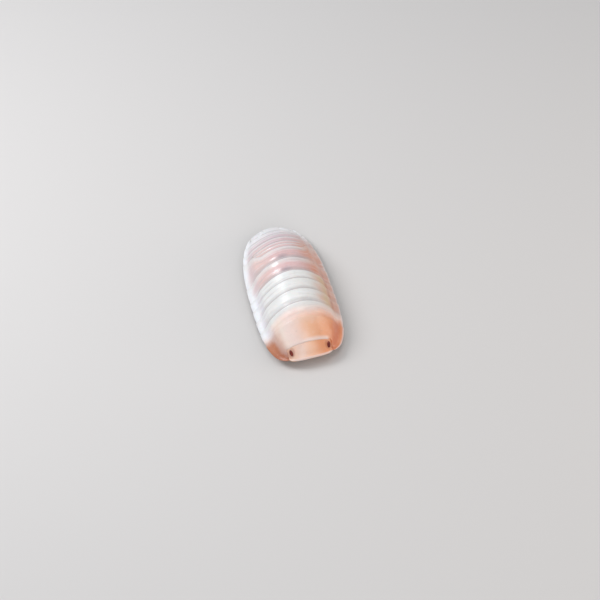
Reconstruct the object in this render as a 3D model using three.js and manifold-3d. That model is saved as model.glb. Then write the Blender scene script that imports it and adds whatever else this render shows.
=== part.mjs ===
// A pill woodlouse, life size, in millimetres: +Z up, head towards -Y, feet on the plane Z = 0.
// Every ring of the body is a slice of one domed form, so the form's few named sizes drive them all.
import * as THREE from "three";
import { mergeVertices } from "three/addons/utils/BufferGeometryUtils.js";
import Module from "manifold-3d";

const wasm = await Module();
wasm.setup();
const { Manifold, Mesh } = wasm;

// Driving dimensions
const bodyLength = 16;
const halfLength = bodyLength / 2;
const halfWidth = 3.87; // over the side plates, at the widest
const widestAt = -0.9;
const frontPower = 3.4; // bluntness of the outline seen from above
const rearPower = 2.6;
const backHeight = 4.3; // top of the back over the floor
const browHeight = 1.06; // top of the head's front edge
const tailHeight = 0.87;
const rimHeight = 0.7; // lower edge of the side plates over the floor
const browRise = 0.35; // how much the rim climbs towards the front of the head
const flare = 0.3; // share of the width that the side plates spread
const backPower = 0.92; // lower is a fuller back
const flank = 0.085; // depth of the hollow over the side plates, as a share of the height
const vaultRise = 0.95; // hollow of the underside over the rim
const rimThickness = 0.36;
const gap = 0.1; // clearance between neighbours
const frontStep = 0.15; // each ring's front edge lies this much under the ring before it
const rearLift = 0.05;

// Where the rings meet, on the midline, and how far each joint sweeps back at the rim
const headRear = -7.0;
const ringJoints = [-7.0, -5.2, -3.9, -2.58, -1.35, -0.4, 1.15, 2.7, 3.12, 3.54, 4.3, 5.1, 5.9];
const jointSweeps = [0, -0.1, -0.05, -0.05, -0.05, 0, 0.15, 0.75, 0.75, 0.75, 0.95, 1.15, 1.35];
const thoraxRings = 7;
const tailRings = 5;
const hiddenTailRings = 2; // the first tail rings have no side plates
const hiddenTailSpan = 0.6; // share of the dome that they cover
const hiddenTailTaper = 0.16; // they narrow from this much before that share to this much after it
const tailEndGap = 0.02; // the tail plates end this far inside the outline

const headHalfWidth = 2.02;
const headMiddle = -7.28;
const headSide = 2.07; // the first ring's side lobes begin this far from the midline
const lobeCorner = 0.08; // how far the front corner of each lobe is rounded off
const mouthHeight = 0.72;
const eye = { x: 1.72, y: -7.3, length: 0.56, width: 0.32, depth: 0.28 };

const footHalfWidth = 3.1;
const firstLegReach = -0.45; // the first foot stands this far forward of its hip
const lastLegReach = 0.95; // and the last one this far back
const footRadius = 0.14;
const legRadius = 0.29;

const clamp01 = (x) => Math.min(1, Math.max(0, x));
const lerp = (a, b, t) => a + (b - a) * t;
const smooth = (t) => clamp01(t) ** 2 * (3 - 2 * clamp01(t));

// The domed form

// Half the width of the outline at y, a superellipse on each side of the widest place.
function outlineAt(y) {
  const [end, power] = y < widestAt ? [-halfLength, frontPower] : [halfLength, rearPower];
  const reach = (y - widestAt) / (end - widestAt);
  return halfWidth * Math.max(1e-4, 1 - clamp01(reach) ** power) ** (1 / power);
}

// The places along the front and the rear half of the outline where it is x from the midline.
function outlineEnd(x, end, power) {
  const share = clamp01(Math.abs(x) / halfWidth);
  return widestAt + (end - widestAt) * (1 - share ** power) ** (1 / power);
}

const frontOutline = (x) => outlineEnd(x, -halfLength, frontPower);
const rearOutline = (x) => outlineEnd(x, halfLength, rearPower);

function crestAt(y) {
  const front = clamp01((-1.4 - y) / 6.6);
  const rear = clamp01((y - 0.4) / 7.6);
  return backHeight - (backHeight - browHeight) * front ** 2.8 - (backHeight - tailHeight) * rear ** 2.4;
}

const rimAt = (y) => rimHeight + browRise * smooth((-6.9 - y) / 1.1);
const spread = (a) => (1 - flare) * Math.sin((Math.PI * a) / 2) + flare * a ** 3;
const fall = (a) => {
  const hollow = Math.sin(Math.PI * clamp01((a - 0.66) / 0.34)) ** 2;
  return Math.max(0, Math.cos((Math.PI * a) / 2)) ** backPower - flank * hollow;
};

// A point of the dome: u runs from -1 at the right rim over the midline to 1 at the left rim.
function domePoint(u, y, lift = 0) {
  const at = (w) => {
    const a = Math.min(1, Math.abs(w));
    const rim = rimAt(y);
    return [Math.sign(w) * spread(a) * outlineAt(y), rim + (crestAt(y) - rim) * fall(a)];
  };
  const step = 0.01;
  const [x, z] = at(u);
  const [x0, z0] = at(u - step);
  const [x1, z1] = at(u + step);
  const side = Math.abs(u) > 1 - step ? [Math.sign(u), 0] : [z0 - z1, x1 - x0];
  const size = Math.hypot(side[0], side[1]);
  return [x + (lift * side[0]) / size, y, z + (lift * side[1]) / size];
}

// Height of the dome over a point of the floor.
function domeHeight(x, y) {
  const width = outlineAt(y);
  let low = 0;
  let high = 1;
  for (let i = 0; i < 24; i++) {
    const middle = (low + high) / 2;
    if (spread(middle) * width < Math.abs(x)) low = middle;
    else high = middle;
  }
  return rimAt(y) + (crestAt(y) - rimAt(y)) * fall(high);
}

// A point of the underside: a shallow vault from rim to rim.
function vaultPoint(u, y, grow = 0) {
  const a = Math.abs(u);
  const rim = rimAt(y);
  const rise = Math.min(vaultRise, 0.42 * (crestAt(y) - rim));
  const inner = Math.max(0.2, outlineAt(y) - rimThickness + grow);
  return [Math.sign(u) * spread(a) * inner, y, rim + rise * (1 - a ** 5) - grow];
}

// Meshes and solids

// A closed mesh from points and faces of three or four corners, counted anticlockwise from outside.
function meshOf(points, faces) {
  const triangles = faces.flatMap((f) => (f.length === 3 ? [f] : [[f[0], f[1], f[2]], [f[0], f[2], f[3]]]));
  const geometry = new THREE.BufferGeometry();
  geometry.setAttribute("position", new THREE.Float32BufferAttribute(points.flat(), 3));
  geometry.setIndex(triangles.flat());
  return geometry;
}

function solidOf(geometry) {
  const bare = geometry.clone();
  bare.deleteAttribute("normal");
  bare.deleteAttribute("uv");
  const merged = mergeVertices(bare, 1e-4);
  return new Manifold(
    new Mesh({
      numProp: 3,
      vertProperties: new Float32Array(merged.attributes.position.array),
      triVerts: new Uint32Array(merged.index.array),
    }),
  );
}

function geometryOf(solid) {
  const parts = solid.decompose();
  const largest = parts.reduce((a, b) => (b.volume() > a.volume() ? b : a));
  const mesh = largest.getMesh();
  const geometry = new THREE.BufferGeometry();
  geometry.setAttribute("position", new THREE.Float32BufferAttribute(mesh.vertProperties, 3));
  geometry.setIndex([...mesh.triVerts]);
  geometry.computeVertexNormals();
  return geometry;
}

// A tube with a round section of changing radius along a curve. With flatEnd the last section lies level.
function taperedTube(curve, radiusAt, steps, sides, flatEnd = false) {
  const points = [];
  const faces = [];
  const across = new THREE.Vector3();
  const around = new THREE.Vector3();
  for (let i = 0; i <= steps; i++) {
    const t = i / steps;
    const centre = curve.getPoint(t);
    const along = flatEnd && i === steps ? new THREE.Vector3(0, 0, -1) : curve.getTangent(t);
    across.crossVectors(along, new THREE.Vector3(0, 1, 0)).normalize();
    around.crossVectors(across, along).normalize();
    for (let j = 0; j < sides; j++) {
      const angle = (2 * Math.PI * j) / sides;
      const p = centre
        .clone()
        .addScaledVector(across, radiusAt(t) * Math.cos(angle))
        .addScaledVector(around, -radiusAt(t) * Math.sin(angle));
      points.push(p.toArray());
    }
  }
  for (let i = 0; i < steps; i++)
    for (let j = 0; j < sides; j++) {
      const k = (j + 1) % sides;
      faces.push([i * sides + j, i * sides + k, (i + 1) * sides + k, (i + 1) * sides + j]);
    }
  for (let j = 1; j < sides - 1; j++) {
    faces.push([0, j + 1, j]);
    faces.push([steps * sides, steps * sides + j, steps * sides + j + 1]);
  }
  const geometry = meshOf(points, faces);
  return solidOf(geometry).volume() < 0 ? meshOf(points, faces.map((f) => [...f].reverse())) : geometry;
}

// Rings of the body

// Where joint k crosses the dome at u, with the notches that hold the head and the two hidden tail rings.
function jointAt(k, u) {
  const a = Math.abs(u);
  const swept = (i) => ringJoints[i] + jointSweeps[i] * a ** 3;
  if (k === 0) {
    const side = headSide + lobeCorner * smooth((a - 0.88) / 0.12);
    const beside = a > 0.62 ? frontOutline(side / spread(a)) : 0;
    return Math.min(headRear + 0.22 * a ** 2, beside);
  }
  const firstTail = thoraxRings;
  const firstPlated = thoraxRings + hiddenTailRings;
  if (k >= firstTail && k < firstPlated) {
    const narrow = smooth((a - hiddenTailSpan + hiddenTailTaper) / (2 * hiddenTailTaper));
    return lerp(swept(k), swept(firstPlated), narrow);
  }
  return swept(k);
}

// How far ring k's surface stands off the dome, v from its front edge to its rear edge, less at the rim.
function reliefAt(k, u, v) {
  const step = k === 0 ? 0 : frontStep * (1 - smooth(v / 0.3));
  const lip = v < 1 ? rearLift * smooth((v - 0.4) / 0.4) : 0;
  return (lip - step) * (1 - 0.6 * smooth((Math.abs(u) - 0.75) / 0.2));
}

// One ring between joints k and k + 1, over the columns us. Grown by grow, it cuts its neighbours clear.
function ringGeometry(k, us, grow = 0) {
  const rows = [0, 0.12, 0.3, 0.6, 0.9, 1];
  const reach = (u, v) => {
    const tip = clamp01((Math.abs(u) - 0.88) / 0.12);
    const share = 0.5 + (v - 0.5) * (1 - 0.08 * tip ** 2);
    return lerp(jointAt(k, u) + gap / 2 - grow, jointAt(k + 1, u) - gap / 2 + grow, share);
  };
  const points = [];
  const faces = [];
  const n = us.length;
  const top = (i, j) => i * rows.length + j;
  const under = (i, j) => n * rows.length + i * 2 + j;
  for (const u of us) for (const v of rows) points.push(domePoint(u, reach(u, v), reliefAt(k, u, v) + grow));
  for (const u of us) for (const v of [0, 1]) points.push(vaultPoint(u, reach(u, v), grow));
  const last = rows.length - 1;
  for (let i = 0; i < n - 1; i++) {
    for (let j = 0; j < last; j++) faces.push([top(i, j), top(i + 1, j), top(i + 1, j + 1), top(i, j + 1)]);
    faces.push([under(i, 0), under(i, 1), under(i + 1, 1), under(i + 1, 0)]);
    faces.push([top(i, 0), under(i, 0), under(i + 1, 0), top(i + 1, 0)]);
    faces.push([top(i, last), top(i + 1, last), under(i + 1, 1), under(i, 1)]);
  }
  for (let j = 0; j < last; j++) {
    faces.push([under(0, 0), top(0, j), top(0, j + 1)]);
    faces.push([under(n - 1, 0), top(n - 1, j + 1), top(n - 1, j)]);
  }
  faces.push([under(0, 0), top(0, last), under(0, 1)]);
  faces.push([under(n - 1, 0), under(n - 1, 1), top(n - 1, last)]);
  return meshOf(points, faces);
}

function columns(span, count) {
  return Array.from({ length: count + 1 }, (_, i) => span * (-1 + (2 * i) / count));
}

// The head

// One column of the head at x: its outline in the plane of y and z, from the brow's rear edge round the face.
function headProfile(x, grow) {
  const s = clamp01(Math.abs(x) / headHalfWidth);
  const round = Math.max(0.3, (1 - s ** 5) ** 0.5);
  const front = headMiddle + (frontOutline(x) - headMiddle) * round - grow;
  const rear = headMiddle + (headRear + 0.1 * x ** 2 - gap / 2 - headMiddle) * round + grow;
  const upper = [];
  for (const t of [0, 0.3, 0.6, 0.82, 0.95, 1]) {
    const y = lerp(rear, front + 0.02, t);
    const brow = t < 1 ? 0 : 0.04;
    upper.push([y, domeHeight(x, Math.max(y, frontOutline(x) + 0.02)) + brow + grow]);
  }
  const [edgeY, edgeZ] = upper[upper.length - 1];
  const depth = round ** 0.7;
  const lower = [
    [edgeY, edgeZ - 0.22 - 2 * grow],
    [edgeY + 0.28, edgeZ - 0.26 - 2 * grow],
    [lerp(headMiddle, -7.42, depth) - grow, lerp(1.0, mouthHeight + 0.08, depth) - grow],
    [lerp(headMiddle, -7.0, depth), lerp(1.0, mouthHeight, depth) - grow],
    [lerp(rear, -6.35 + grow, depth), lerp(1.0, mouthHeight + 0.12, depth) - grow],
    [lerp(rear, -6.3 + grow, depth), lerp(1.1, 1.35, depth) + grow],
    [rear, upper[0][1] - 0.5],
  ];
  return [...upper, ...lower].map(([y, z]) => [x, y, z]);
}

function headGeometry(grow = 0) {
  const count = 20;
  const profiles = columns(Math.PI / 2, count).map((turn) => {
    const x = (headHalfWidth + grow) * Math.sin(turn);
    const inside = Math.sign(x) * Math.min(Math.abs(x), headHalfWidth);
    return headProfile(inside, grow).map((p) => [x, p[1], p[2]]);
  });
  const size = profiles[0].length;
  const faces = [];
  for (let i = 0; i < count; i++)
    for (let j = 0; j < size; j++) {
      const k = (j + 1) % size;
      faces.push([i * size + j, i * size + k, (i + 1) * size + k, (i + 1) * size + j]);
    }
  const flat = profiles[0].map((p) => new THREE.Vector2(p[1], p[2]));
  const turn = Math.sign(THREE.ShapeUtils.area(flat));
  for (const [a, b, c] of THREE.ShapeUtils.triangulateShape(flat, [])) {
    const same = Math.sign(THREE.ShapeUtils.area([flat[a], flat[b], flat[c]])) === turn;
    const [p, q] = same ? [b, c] : [c, b];
    faces.push([a, q, p]);
    faces.push([count * size + a, count * size + p, count * size + q]);
  }
  const points = profiles.flat();
  const geometry = meshOf(points, faces);
  return solidOf(geometry).volume() < 0 ? meshOf(points, faces.map((f) => [...f].reverse())) : geometry;
}

// An oval eye, seated in the side of the head, its flat side along the surface.
function eyeGeometry(side, grow = 0) {
  const geometry = new THREE.SphereGeometry(0.5, 12, 8);
  geometry.scale(eye.width + 2 * grow, eye.length + 2 * grow, eye.depth + 2 * grow);
  const delta = 0.05;
  const slopeX = (domeHeight(eye.x + delta, eye.y) - domeHeight(eye.x - delta, eye.y)) / (2 * delta);
  const slopeY = (domeHeight(eye.x, eye.y + delta) - domeHeight(eye.x, eye.y - delta)) / (2 * delta);
  const outward = new THREE.Vector3(-side * slopeX, -slopeY, 1).normalize();
  geometry.applyQuaternion(new THREE.Quaternion().setFromUnitVectors(new THREE.Vector3(0, 0, 1), outward));
  geometry.translate(side * eye.x, eye.y, domeHeight(eye.x, eye.y));
  return geometry;
}

// The tail fan

// Half the width of the tail plate: broad at its root, waisted, then a square end.
const tailPlateWidth = (t) => 0.78 + 0.95 * (1 - smooth(t / 0.55)) + 0.06 * smooth((t - 0.7) / 0.3);

// A plate on the dome between two edges in x, t from its root to its end, as thick as thick.
function plateGeometry(edgeLow, edgeHigh, root, end, across, along, thick) {
  const points = [];
  const faces = [];
  const size = (across + 1) * (along + 1);
  for (const layer of [0, 1])
    for (let i = 0; i <= across; i++)
      for (let j = 0; j <= along; j++) {
        const s = i / across;
        const t = j / along;
        const x0 = lerp(edgeLow(t), edgeHigh(t), s);
        const y = lerp(root(x0), end(x0), t);
        const top = domeHeight(x0, y);
        points.push([x0, y, layer ? Math.max(0.32, top - thick) : top]);
      }
  const at = (layer, i, j) => layer * size + i * (along + 1) + j;
  for (let i = 0; i < across; i++)
    for (let j = 0; j < along; j++) {
      faces.push([at(0, i, j), at(0, i + 1, j), at(0, i + 1, j + 1), at(0, i, j + 1)]);
      faces.push([at(1, i, j), at(1, i, j + 1), at(1, i + 1, j + 1), at(1, i + 1, j)]);
    }
  for (let i = 0; i < across; i++) {
    faces.push([at(0, i, 0), at(1, i, 0), at(1, i + 1, 0), at(0, i + 1, 0)]);
    faces.push([at(0, i, along), at(0, i + 1, along), at(1, i + 1, along), at(1, i, along)]);
  }
  for (let j = 0; j < along; j++) {
    faces.push([at(0, 0, j), at(0, 0, j + 1), at(1, 0, j + 1), at(1, 0, j)]);
    faces.push([at(0, across, j), at(1, across, j), at(1, across, j + 1), at(0, across, j + 1)]);
  }
  const geometry = meshOf(points, faces);
  return solidOf(geometry).volume() < 0 ? meshOf(points, faces.map((f) => [...f].reverse())) : geometry;
}

// Where the last ring's rear edge lies at x, found by going back and forth between the joint and the section.
const lastJoint = thoraxRings + tailRings;
const rootLine = (x) => {
  let u = 0;
  for (let i = 0; i < 6; i++) {
    const y = jointAt(lastJoint, u);
    const target = Math.min(1, Math.abs(x) / outlineAt(y));
    let low = 0;
    let high = 1;
    for (let n = 0; n < 20; n++) {
      const middle = (low + high) / 2;
      if (spread(middle) < target) low = middle;
      else high = middle;
    }
    u = high;
  }
  return jointAt(lastJoint, u) + gap / 2;
};

const tailEndAt = (x) => rearOutline(x) - tailEndGap;

function telsonGeometry() {
  const half = (t) => tailPlateWidth(t);
  return plateGeometry((t) => -half(t), half, rootLine, tailEndAt, 12, 8, 0.5);
}

function uropodGeometry(side) {
  const inner = (t) => tailPlateWidth(t) + gap;
  const outer = (t) => lerp(2.04, 1.94, t);
  const near = (t) => (side > 0 ? inner(t) : -outer(t));
  const far = (t) => (side > 0 ? outer(t) : -inner(t));
  return plateGeometry(near, far, rootLine, tailEndAt, 6, 6, 0.45);
}

// Legs and feelers

// Leg of ring k: out under the side plate, a bend at the knee, then down to a small flat foot.
function legGeometry(k, side) {
  const middle = (ringJoints[k] + ringJoints[k + 1]) / 2 + (k === 0 ? 0.15 : 0);
  const scale = outlineAt(middle) / halfWidth;
  const reach = lerp(firstLegReach, lastLegReach, k / (thoraxRings - 1));
  const at = (x, forward, z) => new THREE.Vector3(side * x * scale, middle + reach * forward, z);
  const curve = new THREE.CatmullRomCurve3([
    at(1.65, 0, 1.85),
    at(1.88, 0.15, 1.35),
    at(2.4, 0.45, 1.06),
    at(2.88, 0.75, 0.78),
    at(3.07, 0.95, 0.32),
    at(footHalfWidth, 1, 0),
  ]);
  const swell = (t) => 1 + 0.1 * Math.cos(2 * Math.PI * 5 * t);
  const radiusAt = (t) => lerp(legRadius, footRadius, smooth((t - 0.35) / 0.65)) * (t < 1 ? swell(t) : 1);
  return taperedTube(curve, radiusAt, 15, 7, true);
}

// A feeler, folded back from under the brow along the side of the mouth.
function antennaGeometry(side) {
  const at = (x, y, z) => new THREE.Vector3(side * x, y, z);
  const curve = new THREE.CatmullRomCurve3([
    at(0.66, -7.2, 0.96),
    at(0.98, -7.5, 0.76),
    at(1.48, -7.46, 0.58),
    at(2.0, -7.1, 0.46),
    at(2.34, -6.6, 0.4),
    at(2.5, -6.05, 0.38),
    at(2.54, -5.55, 0.36),
  ]);
  const swell = (t) => 1 + 0.1 * Math.cos(2 * Math.PI * 6 * t);
  return taperedTube(curve, (t) => lerp(0.26, 0.13, smooth(t)) * swell(t), 20, 7);
}

// Assembly

const woodlouse = new THREE.Group();
woodlouse.name = "woodlouse";

const shellWhite = new THREE.MeshStandardMaterial({ color: 0xece6df, roughness: 0.35, metalness: 0 });
const shellPink = new THREE.MeshStandardMaterial({ color: 0xd9b3ab, roughness: 0.35, metalness: 0 });
const shellOrange = new THREE.MeshStandardMaterial({ color: 0xe6a780, roughness: 0.35, metalness: 0 });
const limbPale = new THREE.MeshStandardMaterial({ color: 0xe6ddd2, roughness: 0.45, metalness: 0 });
const eyeDark = new THREE.MeshStandardMaterial({ color: 0x2a1414, roughness: 0.25, metalness: 0 });

function addPiece(name, solid, material) {
  const mesh = new THREE.Mesh(geometryOf(solid), material);
  mesh.name = name;
  woodlouse.add(mesh);
}

const headSolid = solidOf(headGeometry());
const headGrown = solidOf(headGeometry(gap));
const ringColumns = (k) => {
  const hidden = k >= thoraxRings && k < thoraxRings + hiddenTailRings;
  if (hidden) return columns(hiddenTailSpan, 16);
  if (k === 0) return [...columns(1, 28), 0.62, 0.68, -0.62, -0.68].sort((a, b) => a - b);
  return columns(1, k < thoraxRings ? 28 : 24);
};
const ringSolids = ringJoints.slice(1).map((_, k) => {
  const solid = solidOf(ringGeometry(k, ringColumns(k)));
  return k === 0 ? solid.subtract(headGrown) : solid;
});
const grownRings = ringJoints.slice(1).map((_, k) => solidOf(ringGeometry(k, ringColumns(k), gap)));

const sockets = [1, -1].map((side) => solidOf(eyeGeometry(side, gap / 2)));
addPiece("head", headSolid.subtract(sockets[0]).subtract(sockets[1]), shellOrange);
for (const [side, word] of [[1, "left"], [-1, "right"]]) {
  addPiece("eye_" + word, solidOf(eyeGeometry(side)), eyeDark);
  const feeler = solidOf(antennaGeometry(side)).subtract(headGrown).subtract(grownRings[0]);
  addPiece("antenna_" + word, feeler, limbPale);
  addPiece("uropod_" + word, solidOf(uropodGeometry(side)).subtract(grownRings[lastJoint - 1]), shellWhite);
}
ringSolids.forEach((solid, k) => {
  const tail = k >= thoraxRings;
  const name = tail ? "pleonite_" + (k - thoraxRings + 1) : "pereonite_" + (k + 1);
  const material = k === 0 ? shellOrange : k >= 5 && k < 10 ? shellPink : shellWhite;
  addPiece(name, solid, material);
});
addPiece("telson", solidOf(telsonGeometry()).subtract(grownRings[lastJoint - 1]), shellWhite);
for (let k = 0; k < thoraxRings; k++)
  for (const [side, word] of [[1, "left"], [-1, "right"]]) {
    let leg = solidOf(legGeometry(k, side));
    for (const n of [k - 1, k, k + 1]) if (grownRings[n]) leg = leg.subtract(grownRings[n]);
    if (k === 0) leg = leg.subtract(headGrown);
    addPiece("leg_" + word + "_" + (k + 1), leg, limbPale);
  }

export default woodlouse;
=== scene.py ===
import math

import bmesh
import bpy
import numpy as np
from mathutils import Matrix, Vector


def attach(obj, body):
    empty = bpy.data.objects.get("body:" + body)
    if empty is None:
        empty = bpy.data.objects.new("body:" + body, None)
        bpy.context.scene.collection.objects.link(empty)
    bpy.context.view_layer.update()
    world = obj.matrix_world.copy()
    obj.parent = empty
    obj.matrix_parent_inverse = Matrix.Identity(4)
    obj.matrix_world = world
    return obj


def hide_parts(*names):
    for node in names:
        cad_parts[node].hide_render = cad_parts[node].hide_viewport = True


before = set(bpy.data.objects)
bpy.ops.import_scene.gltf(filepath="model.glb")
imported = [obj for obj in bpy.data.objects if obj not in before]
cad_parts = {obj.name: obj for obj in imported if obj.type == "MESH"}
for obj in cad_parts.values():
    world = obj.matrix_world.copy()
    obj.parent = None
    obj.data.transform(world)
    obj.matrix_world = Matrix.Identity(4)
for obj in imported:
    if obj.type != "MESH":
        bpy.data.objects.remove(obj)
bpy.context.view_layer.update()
mm = 0.001
print("frame loaded:", len(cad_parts), "nodes")


# Camera, floor and lights. Lengths are in mm, and a lamp's power is in millionths of a watt.

view = {
    "azimuth": -11,  # degrees from the front, below 0 towards the animal's right
    "elevation": 52,
    "roll": -4.5,
    "distance": 137.1,
    "lens": 90,
    "sensor": 36,
    "clip": (1, 5000),
    "aim": (0.59, -1.39, 1.05),  # the point at the middle of the picture
}
paper = {"reach": 600, "colour": (0.66, 0.645, 0.63, 1), "roughness": 0.8}
sky = {"colour": (0.9, 0.94, 1.0, 1), "strength": 0.42}
lamps = {
    "softLeft": {"place": (-70, 40, 85), "size": 55, "power": 74000, "colour": (0.98, 0.98, 1.0)},
    "overhead": {"place": (10, 10, 130), "size": 80, "power": 30000, "colour": (1.0, 0.99, 0.98)},
    "warmRight": {"place": (90, -30, 35), "size": 60, "power": 18000, "colour": (1.0, 0.86, 0.74)},
    "frontFill": {"place": (10, -110, 70), "size": 70, "power": 26000, "colour": (1.0, 0.97, 0.94)},
}


def makeCamera():
    a, e, r = (math.radians(view[key]) for key in ("azimuth", "elevation", "roll"))
    back = Vector((math.sin(a) * math.cos(e), -math.cos(a) * math.cos(e), math.sin(e)))
    data = bpy.data.cameras.new("camera")
    data.lens = view["lens"]
    data.sensor_width = view["sensor"]
    data.clip_start, data.clip_end = (length * mm for length in view["clip"])
    camera = bpy.data.objects.new("camera", data)
    bpy.context.scene.collection.objects.link(camera)
    camera.rotation_mode = "QUATERNION"
    turn = (-back).to_track_quat("-Z", "Y").to_matrix() @ Matrix.Rotation(r, 3, "Z")
    camera.rotation_quaternion = turn.to_quaternion()
    camera.location = Vector(view["aim"]) * mm + back * view["distance"] * mm
    bpy.context.scene.camera = camera


def makeFloor():
    reach = paper["reach"] * mm
    points = [(x * reach, y * reach, 0) for x, y in ((-1, -1), (1, -1), (1, 1), (-1, 1))]
    mesh = bpy.data.meshes.new("floor")
    mesh.from_pydata(points, [], [(0, 1, 2, 3)])
    floor = bpy.data.objects.new("floor", mesh)
    bpy.context.scene.collection.objects.link(floor)
    material = bpy.data.materials.new("floorPaper")
    material.use_nodes = True
    shader = material.node_tree.nodes["Principled BSDF"]
    shader.inputs["Base Color"].default_value = paper["colour"]
    shader.inputs["Roughness"].default_value = paper["roughness"]
    mesh.materials.append(material)


def makeWorld():
    world = bpy.data.worlds.new("studio")
    world.use_nodes = True
    background = world.node_tree.nodes["Background"]
    background.inputs["Color"].default_value = sky["colour"]
    background.inputs["Strength"].default_value = sky["strength"]
    bpy.context.scene.world = world


def makeLight(name, place, size, power, colour):
    data = bpy.data.lights.new(name, "AREA")
    data.shape = "DISK"
    data.size = size * mm
    data.energy = power * mm * mm
    data.color = colour
    lamp = bpy.data.objects.new(name, data)
    bpy.context.scene.collection.objects.link(lamp)
    lamp.location = Vector(place) * mm
    lamp.rotation_mode = "QUATERNION"
    lamp.rotation_quaternion = (-Vector(place)).to_track_quat("-Z", "Y")


makeCamera()
makeFloor()
makeWorld()
for name, lamp in lamps.items():
    makeLight(name, **lamp)
bpy.context.scene.view_settings.view_transform = "Standard"
print("camera, floor and lights are set")


# Writing materials: a Wire is one socket's value, and sums on wires add Math nodes

class Wire:
    def __init__(self, finish, socket):
        self.finish = finish
        self.socket = socket

    def sum(self, operation, *values):
        inputs = dict(enumerate(values))
        return self.finish.node("ShaderNodeMath", {"operation": operation}, inputs)

    def __add__(self, other):
        return self.sum("ADD", self, other)

    def __radd__(self, other):
        return self.sum("ADD", other, self)

    def __sub__(self, other):
        return self.sum("SUBTRACT", self, other)

    def __rsub__(self, other):
        return self.sum("SUBTRACT", other, self)

    def __mul__(self, other):
        return self.sum("MULTIPLY", self, other)

    def __rmul__(self, other):
        return self.sum("MULTIPLY", other, self)

    def __truediv__(self, other):
        return self.sum("DIVIDE", self, other)

    def size(self):
        return self.sum("ABSOLUTE", self)

    def larger(self, other):
        return self.sum("MAXIMUM", self, other)

    # 0 at start and before it, 1 at end and past it, smooth between them; start may be the larger
    def ramp(self, start, end):
        low, high = (start, end) if start < end else (end, start)
        settings = {"interpolation_type": "SMOOTHSTEP"}
        rise = self.finish.node("ShaderNodeMapRange", settings, {"Value": self, 1: low, 2: high})
        return rise if start < end else 1 - rise

    # 1 at centre, falling smoothly to 0 at width from it
    def band(self, centre, width):
        return (self - centre).size().ramp(width, 0)


class Finish:
    def __init__(self, name):
        self.material = bpy.data.materials.new(name)
        self.material.use_nodes = True
        self.tree = self.material.node_tree
        self.shader = self.tree.nodes["Principled BSDF"]

    # settings are set first, then each input gets a value or a link
    def node(self, kind, settings=None, inputs=None, output=0):
        node = self.tree.nodes.new(kind)
        for key, value in (settings or {}).items():
            setattr(node, key, value)
        for key, value in (inputs or {}).items():
            self.put(node.inputs[key], value)
        return Wire(self, node.outputs[output])

    def put(self, socket, value):
        if isinstance(value, Wire):
            self.tree.links.new(value.socket, socket)
        else:
            socket.default_value = value

    # baseColor is the shader's Base Color, and so on
    def set(self, **values):
        for key, value in values.items():
            words = "".join(" " + c if c.isupper() else c for c in key)
            self.put(self.shader.inputs[words.title().replace("Ior", "IOR")], value)

    def place(self):
        return self.node("ShaderNodeTexCoord", output="Object")

    def plate(self):
        return self.node("ShaderNodeUVMap", {"uv_map": "plate"})

    def part(self, vector, axis):
        return self.node("ShaderNodeSeparateXYZ", inputs={0: vector}, output=axis)

    def noise(self, perMm, detail):
        inputs = {"Vector": self.place(), "Scale": perMm / mm, "Detail": detail}
        return self.node("ShaderNodeTexNoise", {}, inputs)

    def cells(self, perMm):
        inputs = {"Vector": self.place(), "Scale": perMm / mm}
        return self.node("ShaderNodeTexVoronoi", {"feature": "F1"}, inputs)

    def blend(self, a, b, amount):
        settings = {"data_type": "RGBA", "blend_type": "MIX"}
        return self.node("ShaderNodeMix", settings, {0: amount, 6: a, 7: b}, 2)

    def bump(self, height, depth, strength):
        inputs = {"Height": height, "Distance": depth * mm, "Strength": strength}
        return self.node("ShaderNodeBump", {}, inputs)


# a colour as painters' software writes it, turned to the linear values that the shader takes
def paint(code):
    parts = [int(code[n : n + 2], 16) / 255 for n in (1, 3, 5)]
    return tuple(c / 12.92 if c < 0.04045 else ((c + 0.055) / 1.055) ** 2.4 for c in parts) + (1,)


pigment = {
    "chalk": "#ffffff",
    "milk": "#e9e8e5",
    "pearl": "#f3f4f7",
    "grey": "#b5aeae",
    "cream": "#f6e2d6",
    "blush": "#f8dfd6",
    "peach": "#f6bd98",
    "orange": "#ee9c6c",
    "ember": "#d4714a",
    "brown": "#bd7a58",
    "rust": "#9c4a33",
    "mauve": "#e0bcbb",
    "beige": "#e6c6c0",
    "tan": "#dca98a",
    "clay": "#d98d6b",
    "lilac": "#cdbfca",
    "smoke": "#8f7c8a",
    "straw": "#d6c596",
}

# how strongly each layer of the shell's colour covers the layers before it
cover = {
    "orangeFront": 0.85,
    "emberFlankShade": 0.8,
    "lobeFrontShade": 0.4,
    "tanFlank": 0.8,
    "strawFlank": 0.6,
    "lilacRear": 0.55,
    "crestMark": 0.7,
    "clayFlank": 0.5,
    "skirt": 0.92,
    "rimPearl": 0.46,
    "paintedSkirtShadow": 0.35,
    "rimLilacAndShade": 0.2,
    "rimEdge": 0.25,
    "rustSeam": 0.35,
    "pearlTail": 0.88,
    "paintedFrontShade": 0.78,
    "rearPale": 0.65,
    "ridgeHighlight": 0.85,
    "peachCheek": 0.6,
    "orangeCheek": 0.7,
    "eyeHalo": 0.4,
    "browEdge": 0.8,
    "greyStreak": 0.42,
    "pearlStreak": 0.4,
    "paleGrain": 0.08,
    "darkGrain": 0.1,
}
gloss = {
    "roughness": 0.3,
    "whiteRoughness": 0.12,  # more of it on the white rings
    "lobeRoughness": 0.16,  # and on the brown lobe
    "grainRoughness": 0.12,
    "coat": 0.4,
    "coatLoss": 0.3,  # less of it on the white rings and the brown lobe
    "coatRoughness": 0.14,
    "pitDepth": 0.012,  # mm
    "pitStrength": 0.3,
    "underSkin": 0.1,
    "underSkinDepth": 0.4,  # mm
}

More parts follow.
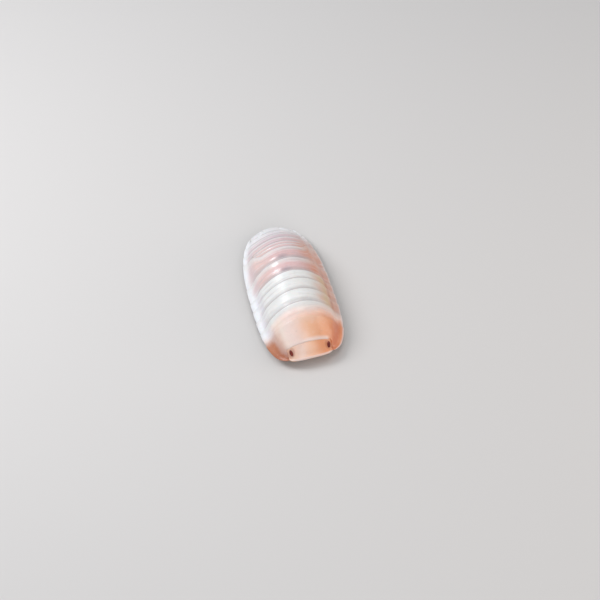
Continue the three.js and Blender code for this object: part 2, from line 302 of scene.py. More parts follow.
# the eyes, in mm: the head's colour darkens round them, from the halo's radius in to the core's
eye = {
    "x": 1.72,
    "y": -7.3,
    "length": 0.56,
    "width": 0.3,
    "depth": 0.26,
    "halo": 0.42,
    "haloCore": 0.2,
    "lenses": 24,
    "lensSize": 0.2,  # as a share of the eye's radius, as the lens height is
    "lensHeight": 0.05,
}


# The shell's colour runs along the body from peach over milk white to mauve. Across it, the crest gives way
# to warm flanks and then to a pearly margin; the left flank's warmth is partly painted warm bounce light
# and shade, and on the first ring the pale ground right of the crest is partly a painted sheen and the
# brown right lobe partly painted shade. Each ring is greyer at its front edge with painted shade, and paler
# at its rear.
# side is -1 at the animal's right rim and 1 at its left rim, and y is in mm, with the head at the low end.
# along is 0 at a ring's front edge and 1 at its rear edge. A cloud shifts sway and out off side, and down
# off y.
def shellFinish(name, edges=True):
    f = Finish(name)
    p = {key: paint(code) for key, code in pigment.items()}
    place = f.place()
    x, y = f.part(place, "X") / mm, f.part(place, "Y") / mm
    uv = f.plate()
    side = f.part(uv, "X") * 2 - 1
    along = f.part(uv, "Y")
    stretched = f.node("ShaderNodeCombineXYZ", inputs={0: side * 1.4, 1: along * 5.5, 2: y * 0.9})
    fibres = {"Vector": stretched, "Scale": 1.0, "Detail": 3.0, "Roughness": 0.6}
    streak = f.node("ShaderNodeTexNoise", {}, fibres) - 0.5
    cloud = f.noise(0.42, 3.0) - 0.5
    grain = f.noise(3.2, 4.0) - 0.5
    sway = side + cloud * 0.3
    out = side.size() + cloud * 0.16
    down = y + cloud * 1.2

    # on the first ring the ground right of the crest stays cream and blush where peach covers the rest:
    # partly pigment, partly a painted sheen
    front = f.blend(p["cream"], p["blush"], sway.ramp(-0.6, -0.34))
    front = f.blend(front, p["peach"], sway.ramp(-0.42, 0.16) * down.ramp(-4.0, -6.0))
    orangeFront = sway.ramp(0.1, 0.62) * down.ramp(-4.3, -5.5)
    front = f.blend(front, p["orange"], orangeFront * cover["orangeFront"])
    # dark orange near the left margin of the first ring: partly its orange-red pigment, partly painted
    # shade
    emberFlankShade = sway.band(0.82, 0.24) * down.ramp(-4.5, -5.4)
    front = f.blend(front, p["ember"], emberFlankShade * cover["emberFlankShade"])
    # the right lobe of the first ring: orange-brown pigment darkened with painted shade, deepest towards
    # its front
    lobe = sway.ramp(-0.52, -0.84) * down.ramp(-4.3, -5.9)
    front = f.blend(front, p["brown"], lobe)
    front = f.blend(front, p["rust"], lobe * down.ramp(-6.0, -7.4) * cover["lobeFrontShade"])

    # the tan and straw of the left flank are partly pigment and partly painted warm bounce light and shade
    middle = f.blend(p["milk"], p["tan"], sway.ramp(0.26, 0.66) * cover["tanFlank"])
    strawFlank = sway.band(0.7, 0.16) * down.ramp(-4.6, -3.4)
    middle = f.blend(middle, p["straw"], strawFlank * cover["strawFlank"])

    rear = f.blend(p["mauve"], p["beige"], sway.ramp(-0.1, -0.5))
    # clay on the left slope of the rear rings: partly pigment, partly painted warm bounce light and shade
    rear = f.blend(rear, p["clay"], sway.ramp(0.2, 0.72))
    rear = f.blend(rear, p["lilac"], down.ramp(3.0, 5.0) * cover["lilacRear"])

    colour = f.blend(middle, front, down.ramp(-3.5, -4.8))
    colour = f.blend(colour, rear, y.ramp(-0.45, -0.3) * out.ramp(1.08, 0.74))
    if edges:
        crestMark = side.band(-0.04, 0.2) * along.band(0.22, 0.3)
        twoRings = y.ramp(-0.4, -0.2) * y.ramp(2.8, 2.6)
        colour = f.blend(colour, p["smoke"], crestMark * twoRings * cover["crestMark"])

    # the left flank, partly with painted warm bounce light and shade; the pearly skirt of the right side,
    # with a painted shadow along its inner edge; and the rim, whose lilac is partly painted shade
    # clay over the left flank: partly pigment, partly painted warm bounce light and shade
    clayFlank = side.ramp(0.6, 0.84) * down.ramp(-4.8, -3.4) * down.ramp(4.4, 2.4)
    colour = f.blend(colour, p["clay"], clayFlank * cover["clayFlank"])
    behind = y.ramp(-0.6, 0.6)
    skirt = sway.ramp(-0.68, -0.84) * (1 - behind) + sway.ramp(-0.78, -0.95) * behind
    rim = side.ramp(0.93, 1.0)
    colour = f.blend(colour, p["pearl"], skirt * (1 - lobe) * cover["skirt"] + rim * cover["rimPearl"])
    # painted shadow: lilac along the inner edge of the right skirt, where the dome meets the side plates
    colour = f.blend(colour, p["lilac"], sway.band(-0.78, 0.14) * (1 - lobe) * cover["paintedSkirtShadow"])
    # lilac near the left rim: partly the margin's own translucent lilac, partly painted shade on that flank
    rimLilacAndShade = side.band(0.9, 0.08) * (1 - down.ramp(-3.9, -5.0))
    colour = f.blend(colour, p["lilac"], rimLilacAndShade * cover["rimLilacAndShade"] + rim * cover["rimEdge"])
    rustSeam = side.band(0.8, 0.06) * down.ramp(2.4, 0.5) * down.ramp(-4.6, -3.0)
    colour = f.blend(colour, p["rust"], rustSeam * cover["rustSeam"])
    colour = f.blend(colour, p["pearl"], down.ramp(4.6, 6.3) * cover["pearlTail"])

    if edges:
        flank = 1 - side.ramp(0.36, 0.7) * 0.7
        inside = sway.ramp(-0.9, -0.66)
        # painted shade: grey over each ring's front, where the rear lip of the ring before it shades it
        paintedFrontShade = along.ramp(0.46, 0.0) * down.ramp(-5.0, -3.9) * inside * flank
        colour = f.blend(colour, p["grey"], paintedFrontShade * cover["paintedFrontShade"])
        rearPale = along.ramp(0.6, 0.92) * down.ramp(-4.9, -4.1) * flank
        colour = f.blend(colour, p["milk"], rearPale * cover["rearPale"])
        # painted highlight: blush on the raised front lip of the first ring, over the head
        ridgeHighlight = along.ramp(0.2, 0.03) * y.ramp(-6.3, -6.6)
        overHead = side.ramp(-0.56, -0.3) * side.ramp(0.62, 0.5)
        colour = f.blend(colour, p["blush"], ridgeHighlight * overHead * cover["ridgeHighlight"])
        greyStreak = streak.ramp(0.02, 0.24) * down.ramp(-5.2, -4.2) * sway.ramp(-0.9, -0.6)
        colour = f.blend(colour, p["grey"], greyStreak * cover["greyStreak"])
        pearlStreak = streak.ramp(-0.02, -0.22) * down.ramp(-5.6, -4.2)
        colour = f.blend(colour, p["pearl"], pearlStreak * cover["pearlStreak"])
    else:
        aside, ahead = x.size() - eye["x"], y - eye["y"]
        halo = (aside * aside + ahead * ahead).ramp(eye["halo"] ** 2, eye["haloCore"] ** 2)
        colour = f.blend(colour, p["peach"], sway.ramp(-0.1, -0.5) * cover["peachCheek"])
        colour = f.blend(colour, p["orange"], sway.ramp(0.05, 0.45) * cover["orangeCheek"])
        colour = f.blend(colour, p["rust"], halo * cover["eyeHalo"])
        colour = f.blend(colour, p["blush"], along.ramp(0.16, 0.03) * cover["browEdge"])
    colour = f.blend(colour, p["chalk"], grain.ramp(0.0, 0.3) * cover["paleGrain"])
    colour = f.blend(colour, p["grey"], grain.ramp(0.0, -0.3) * cover["darkGrain"])
    f.set(baseColor=colour)

    white = down.ramp(-5.0, -3.8) * y.ramp(0.0, -0.4)
    patches = white * gloss["whiteRoughness"] + lobe * gloss["lobeRoughness"]
    f.set(roughness=gloss["roughness"] + patches + grain * gloss["grainRoughness"])
    f.set(coatWeight=gloss["coat"] - white.larger(lobe) * gloss["coatLoss"])
    f.set(coatRoughness=gloss["coatRoughness"])
    pits = f.cells(9.0).ramp(0.0, 0.5)
    f.set(normal=f.bump(pits * 0.6 + f.noise(6.0, 3.0), gloss["pitDepth"], gloss["pitStrength"]))
    f.set(subsurfaceWeight=gloss["underSkin"], subsurfaceScale=gloss["underSkinDepth"] * mm)
    f.set(subsurfaceRadius=(1.0, 0.55, 0.4))
    return f.material


# dark maroon, mottled with a redder brown
def eyeFinish():
    f = Finish("eyeGlass")
    spot = f.noise(5.0, 2.0)
    f.set(baseColor=f.blend(paint("#5c1811"), paint("#8a3023"), spot.ramp(0.35, 0.7)))
    f.set(roughness=0.34 + spot * 0.1, coatWeight=0.12, coatRoughness=0.2, specularIorLevel=0.3)
    return f.material


# a pale limb with warmer patches, darker towards its tip
def limbFinish(name, base, warm, tip):
    f = Finish(name)
    reach = f.part(f.plate(), "Y")
    grain = f.noise(4.0, 4.0)
    colour = f.blend(base, warm, f.noise(1.2, 2.0).ramp(0.35, 0.65) * 0.6)
    colour = f.blend(colour, tip, reach.ramp(0.8, 0.97) * 0.85)
    f.set(baseColor=f.blend(colour, paint("#b9a795"), grain.ramp(0.55, 0.75) * 0.3))
    f.set(roughness=0.38 + grain * 0.15, normal=f.bump(grain, 0.01, 0.4))
    f.set(subsurfaceWeight=0.12, subsurfaceRadius=(1.0, 0.6, 0.4), subsurfaceScale=0.3 * mm)
    return f.material


finishes = {
    "head": shellFinish("shellHead", False),
    "shell_orange": shellFinish("shellFront"),
    "shell_white": shellFinish("shellMiddle"),
    "shell_pink": shellFinish("shellRear"),
    "eye": eyeFinish(),
    "limb": limbFinish("legSkin", paint("#e3d8c8"), paint("#d6b090"), paint("#7a4c32")),
    "feeler": limbFinish("feelerSkin", paint("#cfa587"), paint("#b98560"), paint("#8a5a40")),
}
print("finishes written:", len(finishes))


# The domed form, in mm, the same one as the solids are cut from

form = {
    "halfLength": 8.0,
    "halfWidth": 3.87,
    "widestAt": -0.9,
    "frontPower": 3.4,  # bluntness of the outline seen from above
    "rearPower": 2.6,
    "backHeight": 4.3,
    "browHeight": 1.06,
    "tailHeight": 0.87,
    "level": (-1.4, 0.4),  # the crest is level between these places
    "crestPowers": (2.8, 2.4),
    "rimHeight": 0.7,
    "browRise": 0.35,  # how much the rim climbs to the front of the head
    "browRiseFrom": -6.9,
    "browRiseOver": 1.1,
    "flare": 0.3,  # share of the width that the side plates spread
    "backPower": 0.92,  # lower is a fuller back
    "flank": 0.085,  # depth of the hollow over the side plates, as a share of the height
    "flankFrom": 0.66,  # share of the section where it starts
    "vaultRise": 0.95,
    "vaultShare": 0.42,  # the vault rises no more than this share of the shell's height
    "rimThickness": 0.36,
}


# t^2 * (3 - 2t), with t held between 0 and 1
def smooth(t):
    t = np.clip(t, 0, 1)
    return t * t * (3 - 2 * t)


# a at t = 0 and b at t = 1, in a straight line
def mix(a, b, t):
    return a + (b - a) * t


# half width = widest * (1 - reach^p)^(1/p), reach being the share of the way to the front or rear end
def outlineAt(y):
    f = form
    front = y < f["widestAt"]
    end = np.where(front, -f["halfLength"], f["halfLength"])
    power = np.where(front, f["frontPower"], f["rearPower"])
    reach = np.clip((y - f["widestAt"]) / (end - f["widestAt"]), 0, 1)
    return f["halfWidth"] * np.maximum(1e-4, 1 - reach**power) ** (1 / power)


# the outline turned round: the y of its front or rear end where the half width is x
def outlineEnd(x, end, power):
    share = np.clip(np.abs(x) / form["halfWidth"], 0, 1)
    return form["widestAt"] + (end - form["widestAt"]) * (1 - share**power) ** (1 / power)


# its front end at x
def frontOutline(x):
    return outlineEnd(x, -form["halfLength"], form["frontPower"])


# its rear end at x
def rearOutline(x):
    return outlineEnd(x, form["halfLength"], form["rearPower"])


# the crest falls from the back's height by a power of the distance towards each end
def crestAt(y):
    f = form
    levelFront, levelRear = f["level"]
    front = np.clip((levelFront - y) / (f["halfLength"] + levelFront), 0, 1) ** f["crestPowers"][0]
    rear = np.clip((y - levelRear) / (f["halfLength"] - levelRear), 0, 1) ** f["crestPowers"][1]
    back = f["backHeight"]
    return back - (back - f["browHeight"]) * front - (back - f["tailHeight"]) * rear


# the rim is level, and climbs smoothly at the head
def rimAt(y):
    return form["rimHeight"] + form["browRise"] * smooth((form["browRiseFrom"] - y) / form["browRiseOver"])


# place across the section as a share of its half width: a sine, and a cube for the flare of the side plates
def spread(a):
    return (1 - form["flare"]) * np.sin(np.pi * a / 2) + form["flare"] * a**3


# a cosine with a soft hollow where the flank meets the side plates
def fall(a):
    hollow = np.sin(np.pi * np.clip((a - form["flankFrom"]) / (1 - form["flankFrom"]), 0, 1)) ** 2
    return np.clip(np.cos(np.pi * a / 2), 0, 1) ** form["backPower"] - form["flank"] * hollow


# Section of the dome at y: x = spread(u) * outline and z = rim + (crest - rim) * fall(u), then a lift along
# the normal. u is -1 at the right rim, 0 on the crest and 1 at the left rim.
def domePoint(u, y, lift=0.0):
    u, y, lift = np.broadcast_arrays(np.asarray(u, float), np.asarray(y, float), np.asarray(lift, float))

    def at(w):
        a = np.minimum(1, np.abs(w))
        return np.sign(w) * spread(a) * outlineAt(y), rimAt(y) + (crestAt(y) - rimAt(y)) * fall(a)

    step = 0.01
    x, z = at(u)
    x0, z0 = at(u - step)
    x1, z1 = at(u + step)
    edge = np.abs(u) > 1 - step
    nx = np.where(edge, np.sign(u), z0 - z1)
    nz = np.where(edge, 0, x1 - x0)
    size = np.hypot(nx, nz)
    return np.stack([x + lift * nx / size, y, z + lift * nz / size], -1)


# the u of the dome where it is x from the midline, read off its section
def domeU(x, y):
    table = np.linspace(0, 1, 400)
    return np.interp(np.abs(x) / outlineAt(np.asarray(y, float)), spread(table), table)


# height of the dome over a point of the floor: the section's z at that u
def domeHeight(x, y):
    return rimAt(y) + (crestAt(y) - rimAt(y)) * fall(domeU(x, y))


# the underside: the same section pulled in by the rim's thickness, over a vault that rises as 1 - u^5
def vaultPoint(u, y):
    a = np.abs(u)
    rise = np.minimum(form["vaultRise"], form["vaultShare"] * (crestAt(y) - rimAt(y)))
    inner = np.maximum(0.2, outlineAt(y) - form["rimThickness"])
    x, z = np.sign(u) * spread(a) * inner, rimAt(y) + rise * (1 - a**5)
    return np.stack(np.broadcast_arrays(x, y, z), -1)


# Making meshes

weld = {"points": 2e-5, "slivers": 1e-5}  # mm
sides = ((1, "left"), (-1, "right"))


# A grid of points, columns by rows, becomes faces between neighbours, and each column's last row joins its
# first. Points in one place are merged, and ends that are still open are filled.
def gridMesh(name, points, uv, node, slot, finish=None):
    columns, rows = points.shape[:2]
    index = np.arange(columns * rows).reshape(columns, rows)
    ahead = np.roll(index, -1, axis=1)
    faces = np.stack([index[:-1], index[1:], ahead[1:], ahead[:-1]], -1).reshape(-1, 4)
    mesh = bpy.data.meshes.new(name)
    mesh.from_pydata((points.reshape(-1, 3) * mm).tolist(), [], faces.tolist())
    if uv is not None:
        layer = mesh.uv_layers.new(name="plate")
        corners = np.zeros(len(mesh.loops), dtype=np.int32)
        mesh.loops.foreach_get("vertex_index", corners)
        layer.data.foreach_set("uv", uv.reshape(-1, 2)[corners].astype(np.float32).ravel())
    work = bmesh.new()
    work.from_mesh(mesh)
    bmesh.ops.remove_doubles(work, verts=work.verts, dist=weld["points"] * mm)
    bmesh.ops.dissolve_degenerate(work, edges=work.edges, dist=weld["slivers"] * mm)
    bmesh.ops.holes_fill(work, edges=work.edges, sides=0)
    bmesh.ops.recalc_face_normals(work, faces=work.faces)
    work.to_mesh(mesh)
    work.free()
    mesh.shade_smooth()
    piece = bpy.data.objects.new(name, mesh)
    bpy.context.scene.collection.objects.link(piece)
    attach(piece, "root")
    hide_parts(node)
    mesh.materials.append(finishes[finish or slot])


# The rings of the body. Where they meet on the midline is read from the solids there.

rings = {
    "legged": 7,
    "tail": 5,
    "hidden": (7, 8),  # the first tail rings have no side plates
    "mauve": range(5, 10),
    "sweeps": [0, -0.1, -0.05, -0.05, -0.05, 0, 0.15, 0.75, 0.75, 0.75, 0.95, 1.15, 1.35],
    "hiddenSpan": 0.6,  # share of the dome that the hidden rings cover
    "hiddenTaper": 0.16,  # they narrow from this much before that share to this much after it
    "hiddenDip": 0.03,
    "frontLine": -7.0,
    "frontCurve": 0.22,
    "headSide": 2.07,  # the first ring's side lobes begin this far from the midline
    "lobeFrom": 0.62,  # and are looked for from this share of the dome outwards
    "lobeCorner": 0.08,  # how far the front corner of each lobe is rounded off
    "tuck": 0.3,  # how far a ring's front runs in under the ring before it
    "tuckDepth": 0.16,
    "overlap": 0.03,  # how far a ring's rear edge runs on past the joint
    "lipThickness": 0.09,
    "groove": 0.045,  # step between a ring's smooth front band and the rest of it
    "grooveAt": 0.33,  # share of the ring's length
    "grooveWidth": 0.16,
    "frontLip": 0.035,  # raised front edge of the first ring, over the head
    "rearLift": 0.045,
    "calm": 0.6,  # share of the relief that is gone at the rim
    "tipFrom": 0.88,  # the corners of the side plates are rounded from here outwards
    "tipPull": 0.025,
    "rimFrom": 0.93,  # the thickness shrinks from here outwards
    "columns": 181,
    "noseRows": (0, 0.01, 0.03, 0.06, 0.1, 0.15, 0.22),  # rows of points, mm behind a ring's front edge
    "lipRows": (0.3, 0.24, 0.18, 0.13, 0.09, 0.06, 0.035, 0.016, 0.004, 0),  # and mm before its rear edge
    "backRows": 16,
}


# lowest and highest y of a node's points within 0.02 mm of the midline
def midlineSpan(node):
    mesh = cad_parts[node].data
    points = np.zeros(len(mesh.vertices) * 3, dtype=np.float32)
    mesh.vertices.foreach_get("co", points)
    points = points.reshape(-1, 3) / mm
    middle = points[np.abs(points[:, 0]) < 0.02]
    return middle[:, 1].min(), middle[:, 1].max()


ringNodes = ["pereonite_%d" % (n + 1) for n in range(rings["legged"])]
ringNodes += ["pleonite_%d" % (n + 1) for n in range(rings["tail"])]
spans = [midlineSpan(node) for node in ringNodes]
joints = [spans[0][0]] + [(a[1] + b[0]) / 2 for a, b in zip(spans, spans[1:])] + [spans[-1][1]]
print("ring joints, mm:", [round(float(j), 2) for j in joints])


# joint k swept back by a^3; the first follows the head, and the two hidden tail rings end in a notch
def jointAt(k, u):
    r = rings
    a = np.abs(u)

    def swept(i):
        return joints[i] + r["sweeps"][i] * a**3

    if k == 0:
        side = r["headSide"] + r["lobeCorner"] * smooth((a - r["tipFrom"]) / (1 - r["tipFrom"]))
        beside = frontOutline(side / np.maximum(spread(a), 0.5))
        return np.minimum(r["frontLine"] + r["frontCurve"] * a**2, np.where(a > r["lobeFrom"], beside, 0))
    if k in r["hidden"]:
        narrow = smooth((a - r["hiddenSpan"] + r["hiddenTaper"]) / (2 * r["hiddenTaper"]))
        return mix(swept(k), swept(r["hidden"][-1] + 1), narrow)
    return swept(k)


# how much an edge of a radius is rounded off at a distance from it: a quarter circle
def roundOff(distance, radius):
    inside = np.clip(radius - distance, 0, radius)
    return radius - np.sqrt(np.clip(radius**2 - inside**2, 0, None))


# One ring: at each column u a closed loop runs over the back, round the rear lip, under it, down the rear
# face, forward along the vault and up the front face. Towards the rim it thins as a quarter ellipse.
def ringSurface(k, span):
    r = rings
    t = np.linspace(-1, 1, r["columns"])
    u = (span * (0.45 * t + 0.55 * np.sin(np.pi * t / 2)))[:, None]
    a = np.abs(u)
    first, last = jointAt(k, u), jointAt(k + 1, u)
    length = last - first
    tip = np.clip((a - r["tipFrom"]) / (1 - r["tipFrom"]), 0, 1) ** 2
    last = last - r["tipPull"] * length * tip + r["overlap"]
    first = first + r["tipPull"] * length * tip
    start = first - (0 if k == 0 else r["tuck"] * (1 - 0.6 * tip))
    scale = np.minimum(1, length / 1.0)  # rings shorter than 1 mm have finer edges
    nose = np.array(r["noseRows"])[None, :]
    lip = np.array(r["lipRows"])[None, :]
    plain = last - start - (nose[0, -1] + lip[0, 0]) * scale
    middle = np.linspace(0, 1, r["backRows"] + 2)[None, 1:-1]
    back = start + nose[0, -1] * scale + plain * middle
    y = np.concatenate([start + nose * scale, back, last - lip * scale], axis=1)

    fromRear = (last - y) / scale
    fromFront = (y - start) / scale
    half = r["lipThickness"] / 2
    rounding = roundOff(fromRear, half)
    if k == 0:
        raised = smooth((0.42 - fromFront) / 0.34) * smooth((0.7 - a) / 0.2)
        dip = roundOff(fromFront, half) - r["frontLip"] * raised
    else:
        dip = r["tuckDepth"] * (1 - smooth((y - start) / (0.9 * r["tuck"] + 0.1 * scale)))
    if 0 < k < r["legged"]:
        share = (y - first) / length
        dip = dip + r["groove"] * (1 - smooth((share - r["grooveAt"]) / r["grooveWidth"] + 0.5))
    if k in r["hidden"]:
        dip = dip + r["hiddenDip"] * smooth((a - r["hiddenSpan"] + 0.1) / 0.2)
    raisedRear = smooth((0.55 * scale - (last - y)) / (0.5 * scale))
    calm = 1 - r["calm"] * smooth((a - 0.75) / 0.2)
    top = domePoint(u, y, calm * (r["rearLift"] * raisedRear - dip) - rounding)

    away = vaultPoint(u, y) - top
    full = np.linalg.norm(away, axis=-1)
    away = away / full[..., None]
    if k not in r["hidden"]:
        full = full * np.sqrt(1 - np.clip((a - r["rimFrom"]) / (1 - r["rimFrom"]), 0, 1) ** 2)
    lipCount = len(r["lipRows"])
    under = np.where(fromRear < half, 2 * (half - rounding), r["lipThickness"])
    under = np.minimum(under, full)[:, -lipCount:, None]
    lipUnder = top[:, -lipCount:] + away[:, -lipCount:] * under
    vault = top + away * full[..., None]
    loop = np.concatenate([top, lipUnder[:, ::-1][:, 1:], vault[:, : 1 - lipCount][:, ::-1]], axis=1)
    uv = np.stack(np.broadcast_arrays((u + 1) / 2, (y - first) / length), -1)
    uv = np.concatenate([uv, uv[:, -lipCount:][:, ::-1][:, 1:], uv[:, : 1 - lipCount][:, ::-1]], axis=1)
    return loop, uv


for k, node in enumerate(ringNodes):
    hiddenSpan = rings["hiddenSpan"] + 0.9 * rings["hiddenTaper"]
    surface, uv = ringSurface(k, hiddenSpan if k in rings["hidden"] else 1.0)
    slot = "shell_orange" if k == 0 else "shell_pink" if k in rings["mauve"] else "shell_white"
    gridMesh("shell_" + node, surface, uv, node, slot)
print("rings made:", len(ringNodes))


# The head

head = {
    "halfWidth": 2.06,
    "middle": -7.28,
    "rear": -7.0,
    "rearCurve": 0.1,
    "browLift": 0.045,
    "browPower": 18,
    "browKeys": 9,  # this many of each column's key points belong to the brow
    "cheekPower": 6,
    "mouthHeight": 0.7,
    "markRow": -6.9,  # the row of the dome whose places across the head's colours follow
    "columns": 141,
    "steps": 7,
}


# the cubic from b to c, t from 0 to 1, of a smooth curve through a, b, c and d
def between(a, b, c, d, t):
    return 0.5 * (2 * b + (c - a) * t + (2 * a - 5 * b + 4 * c - d) * t**2 + (3 * b - a - 3 * c + d) * t**3)


# a closed smooth curve through the key points of each column
def closedCurve(keys, steps):
    a, b, c, d = (np.roll(keys, n, axis=1)[:, :, None, :] for n in (1, 0, -1, -2))
    t = (np.arange(steps) / steps)[None, None, :, None]
    return between(a, b, c, d, t).reshape(keys.shape[0], -1, keys.shape[2])


# a soft hill: e to the minus square of the distance from its centre, in widths
def hill(x, centre, width):
    return np.exp(-(((x - centre) / width) ** 2))


# At each x a closed loop runs from under the front plate over the brow, round its edge, down the face, back
# under the mouth and up. The loops shrink to a point at the cheeks as (1 - s^p)^(1/2). p is high on the
# brow, which stays level with the plates beside it, and lower on the face, which makes the cheeks round.
def headSurface():
    h = head
    s = np.sin(np.linspace(-np.pi / 2, np.pi / 2, h["columns"]))
    x = h["halfWidth"] * s
    front = frontOutline(x)
    rear = h["rear"] + h["rearCurve"] * x**2
    edge = domeHeight(x, front + 0.02)
    mouth = h["mouthHeight"]
    aside = np.abs(x)
    face = 0.3 - 0.13 * hill(aside, 0, 0.42) + 0.1 * hill(aside, 0.92, 0.26)
    face = face - 0.05 * hill(aside, 1.4, 0.25)

    # a key point of every column, on the dome or at a height
    def over(y, lift):
        return np.stack([y, domeHeight(x, np.maximum(y, front + 0.02)) + lift], -1)

    def at(y, z):
        return np.stack([y + 0 * x, z + 0 * x], -1)

    keys = [
        over(rear + 0.32, -0.26),
        over(rear + 0.12, -0.12),
        over(rear - 0.03, -0.03),
        over(mix(rear, front, 0.3), 0.0),
        over(mix(rear, front, 0.55), 0.0),
        over(mix(rear, front, 0.76), -0.01),
        over(mix(rear, front, 0.88), 0.015),
        over(front + 0.05, h["browLift"]),
        at(front, edge - 0.04),
        at(front + 0.05, edge - 0.12),
        at(front + 0.2, edge - 0.2),
        at(front + face, edge - 0.34),
        at(front + face + 0.12, mouth + 0.16),
        at(-7.36, mouth + 0.03 * np.cos(6 * x)),
        at(-7.0, mouth),
        at(-6.55, mouth + 0.1),
        at(-6.4, 1.15),
        at(rear + 0.42, domeHeight(x, rear) - 0.6),
    ]
    power = np.full(len(keys), h["cheekPower"])
    power[: h["browKeys"]] = h["browPower"]
    shrink = np.sqrt(np.clip(1 - np.abs(s)[:, None] ** power[None, :], 0, 1))[..., None]
    centre = over(h["middle"] + 0 * x, -0.3)[:, None, :]
    loops = closedCurve(centre + (np.stack(keys, 1) - centre) * shrink, h["steps"])
    across = np.broadcast_to(x[:, None], loops.shape[:2])
    points = np.stack([across, loops[..., 0], loops[..., 1]], -1)
    side = np.sign(across) * domeU(across, h["markRow"])
    along = (loops[..., 0] - front[:, None]) / (rear - front)[:, None]
    return points, np.stack([(side + 1) / 2, along], -1)


surface, uv = headSurface()
gridMesh("shell_head", surface, uv, "head", "shell_orange", "head")
print("head made")


# The eyes: an oval that carries rows of small lenses, seated on the dome with its flat side along it

# radius 1 plus a hill for each lens, the lenses spread over the outward half by the golden angle
def eyeSurface(side):
    polar = np.linspace(0, np.pi, 49)[:, None]
    turn = np.linspace(0, 2 * np.pi, 72, endpoint=False)[None, :]
    ball = [np.sin(polar) * np.cos(turn), np.sin(polar) * np.sin(turn), np.cos(polar)]
    ball = np.stack(np.broadcast_arrays(*ball), -1)
    n = np.arange(eye["lenses"])
    up = 1 - 0.95 * (n + 0.5) / eye["lenses"]
    golden = np.pi * (3 - np.sqrt(5)) * n
    flat = np.sqrt(1 - up**2)
    lenses = np.stack([flat * np.cos(golden), flat * np.sin(golden), up], -1)
    nearest = np.max(ball @ lenses.T, axis=-1)
    lens = np.exp(-np.clip(2 - 2 * nearest, 0, None) / eye["lensSize"] ** 2)
    size = np.array([eye["width"], eye["length"], eye["depth"]])
    ball = ball * (1 + eye["lensHeight"] * lens)[..., None] * size / 2
    step = 0.05
    x, y = eye["x"], eye["y"]
    slopeX = (domeHeight(x + step, y) - domeHeight(x - step, y)) / (2 * step)
    slopeY = (domeHeight(x, y + step) - domeHeight(x, y - step)) / (2 * step)
    outward = Vector((-side * float(slopeX), -float(slopeY), 1)).normalized()
    tilt = np.array(Vector((0, 0, 1)).rotation_difference(outward).to_matrix())
    return ball @ tilt.T + np.array([side * x, y, float(domeHeight(x, y))])


for side, word in sides:
    gridMesh("eyeball_" + word, eyeSurface(side), None, "eye_" + word, "eye")
print("eyes made")


# Limbs: a round section carried along a smooth path, swelling in each article and pinched between them

limbs = {"around": 20, "perArticle": 12, "flatten": 0.85}


# a smooth curve through the points, with t from 0 at the first point to 1 at the last
def pathThrough(points, t):
    points = np.asarray(points, float)
    ends = np.concatenate([[2 * points[0] - points[1]], points, [2 * points[-1] - points[-2]]])
    place = np.clip(t, 0, 1) * (len(points) - 1)
    n = np.minimum(place.astype(int), len(points) - 2)
    return between(*(ends[n + i] for i in range(4)), (place - n)[:, None])


# radius = taper * (1 - pinch * (1 - sin(pi f^1.6)^(1/3))): each article f widens towards its far end and is
# waisted at the joint. Both ends of the limb close to a point.
def limbSurface(points, breaks, radii, pinch):
    f = np.linspace(0, 1, limbs["perArticle"], endpoint=False)
    t = np.concatenate([a + (b - a) * f for a, b in zip(breaks, breaks[1:])] + [[1.0]])
    inside = np.concatenate([f] * (len(breaks) - 1) + [[1.0]])
    swell = np.sin(np.pi * inside**1.6).clip(0, 1) ** (1 / 3)
    radius = np.interp(t, breaks, radii) * (1 - pinch * (1 - swell))
    radius[0] = radius[-1] = 0
    centre = pathThrough(points, t)
    along = np.gradient(centre, axis=0)
    along /= np.linalg.norm(along, axis=1, keepdims=True)
    across = np.cross(along, np.array([0, 1, 0]))
    across /= np.linalg.norm(across, axis=1, keepdims=True)
    around = np.cross(across, along)
    angle = np.linspace(0, 2 * np.pi, limbs["around"], endpoint=False)[None, :, None]
    ring = across[:, None] * np.cos(angle) * limbs["flatten"] + around[:, None] * np.sin(angle)
    uv = np.stack(np.broadcast_arrays(angle[..., 0] / (2 * np.pi), t[:, None]), -1)
    return centre[:, None] + radius[:, None, None] * ring, uv


leg = {
    "reach": (-0.45, 0.95),  # how far the first and the last foot stand behind their hips
    "firstBack": 0.15,  # the first legs start this far behind their ring's middle
    "knots": (  # from hip to foot: mm from the midline at the widest ring, share of the reach, height
        (1.65, 0, 1.85),
        (1.88, 0.15, 1.35),
        (2.4, 0.45, 1.06),
        (2.88, 0.75, 0.78),
        (3.07, 0.95, 0.32),
        (3.1, 1, 0.0),
    ),
    "breaks": (0, 0.2, 0.36, 0.5, 0.66, 0.86, 1),
    "radii": (0.3, 0.29, 0.27, 0.25, 0.21, 0.14, 0.03),
    "pinch": 0.22,
}


# the knots scaled by the body's width at ring k and moved along it by the leg's reach
def legPoints(k, side):
    middle = (joints[k] + joints[k + 1]) / 2 + (leg["firstBack"] if k == 0 else 0)
    scale = float(outlineAt(middle)) / form["halfWidth"]
    reach = mix(*leg["reach"], k / (rings["legged"] - 1))
    return [(side * x * scale, middle + reach * forward, z) for x, forward, z in leg["knots"]]


for k in range(rings["legged"]):
    for side, word in sides:
        surface, uv = limbSurface(legPoints(k, side), leg["breaks"], leg["radii"], leg["pinch"])
        gridMesh("limb_%s_%d" % (word, k + 1), surface, uv, "leg_%s_%d" % (word, k + 1), "limb")
print("legs made")

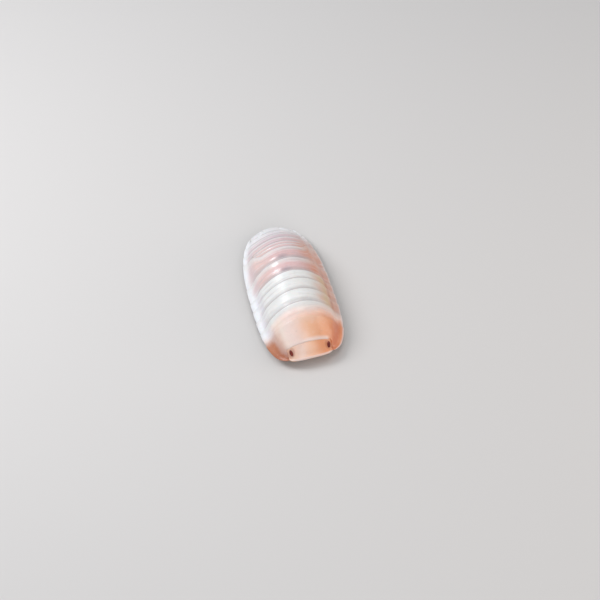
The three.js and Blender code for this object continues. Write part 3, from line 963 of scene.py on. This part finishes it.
antenna = {
    "knots": (
        (0.66, -7.2, 0.96),
        (0.98, -7.5, 0.76),
        (1.48, -7.46, 0.58),
        (2.0, -7.1, 0.46),
        (2.34, -6.6, 0.4),
        (2.5, -6.05, 0.38),
        (2.54, -5.55, 0.36),
    ),
    "breaks": (0, 0.12, 0.26, 0.42, 0.6, 0.8, 0.92, 1),
    "radii": (0.2, 0.2, 0.19, 0.17, 0.14, 0.11, 0.08, 0.03),
    "pinch": 0.3,
}
for side, word in sides:
    points = [(side * x, y, z) for x, y, z in antenna["knots"]]
    surface, uv = limbSurface(points, antenna["breaks"], antenna["radii"], antenna["pinch"])
    gridMesh("feeler_" + word, surface, uv, "antenna_" + word, "limb", "feeler")
print("feelers made")


# The tail fan: plates on the dome with rounded edges

tail = {
    "inside": 0.02,  # the plates end this far inside the outline
    "waist": 0.78,
    "root": 0.95,
    "endFlare": 0.06,
    "gap": 0.03,
    "thickness": 0.24,
    "side": (2.16, 2.05),  # outer edge of the side pieces, at their root and at their end
    "telsonLift": 0.02,
    "tuck": 0.25,  # how far the plates run in under the last ring
    "tuckDepth": 0.2,
    "columns": 61,
    "rows": 49,
}


# half the width of the tail plate: broad at its root, waisted, then a square end
def tailWidth(t):
    end = tail["endFlare"] * smooth((t - 0.7) / 0.3)
    return tail["waist"] + tail["root"] * (1 - smooth(t / 0.55)) + end


# where the last joint lies at x, found by going back and forth between the joint and the section
def rootLine(x):
    y = np.full_like(x, joints[-1])
    for _ in range(6):
        y = jointAt(len(ringNodes), domeU(x, np.minimum(y, 7.6)))
    return y


# the outline's rear end, less a little
def tailEnd(x):
    return rearOutline(x) - tail["inside"]


# A plate between the edges low and high. Its thickness is whole inside and falls as a quarter circle over
# the last part before an edge, and its root sinks under the last ring.
def plateSurface(low, high, lift):
    s = (0.5 - 0.5 * np.cos(np.pi * np.linspace(0, 1, tail["columns"])))[:, None]
    t = np.sin(np.pi / 2 * np.linspace(0, 1, tail["rows"]))[None, :]
    x = mix(low(t), high(t), s)
    root = rootLine(x) - tail["tuck"]
    y = mix(root, tailEnd(x), t)
    thick = tail["thickness"]
    edge = np.minimum(np.minimum(x - low(t), high(t) - x), (tailEnd(x) - root) * (1 - t))
    part = np.sqrt(1 - (1 - np.clip(edge / (0.6 * thick), 0, 1)) ** 2)
    clear = smooth((y - root) / 0.4) * smooth(0.25 + np.abs(np.abs(x) - tail["side"][0]) / 0.2)
    middle = domeHeight(x, y) - thick / 2 - tail["tuckDepth"] * (1 - clear) + lift
    top = np.stack([x, y, middle + thick / 2 * part], -1)
    under = np.stack([x, y, middle - thick / 2 * part], -1)
    uv = np.stack(np.broadcast_arrays(s, t), -1)
    return np.concatenate([top, under[:, ::-1]], 1), np.concatenate([uv, uv[:, ::-1]], 1)


surface, uv = plateSurface(lambda t: -tailWidth(t), tailWidth, tail["telsonLift"])
gridMesh("shell_telson", surface, uv, "telson", "shell_white")
for side, word in sides:
    surface, uv = plateSurface(lambda t: tailWidth(t) + tail["gap"], lambda t: mix(*tail["side"], t), 0)
    surface = surface * np.array([side, 1, 1])
    gridMesh("shell_uropod_" + word, surface, uv, "uropod_" + word, "shell_white")
print("tail fan made")
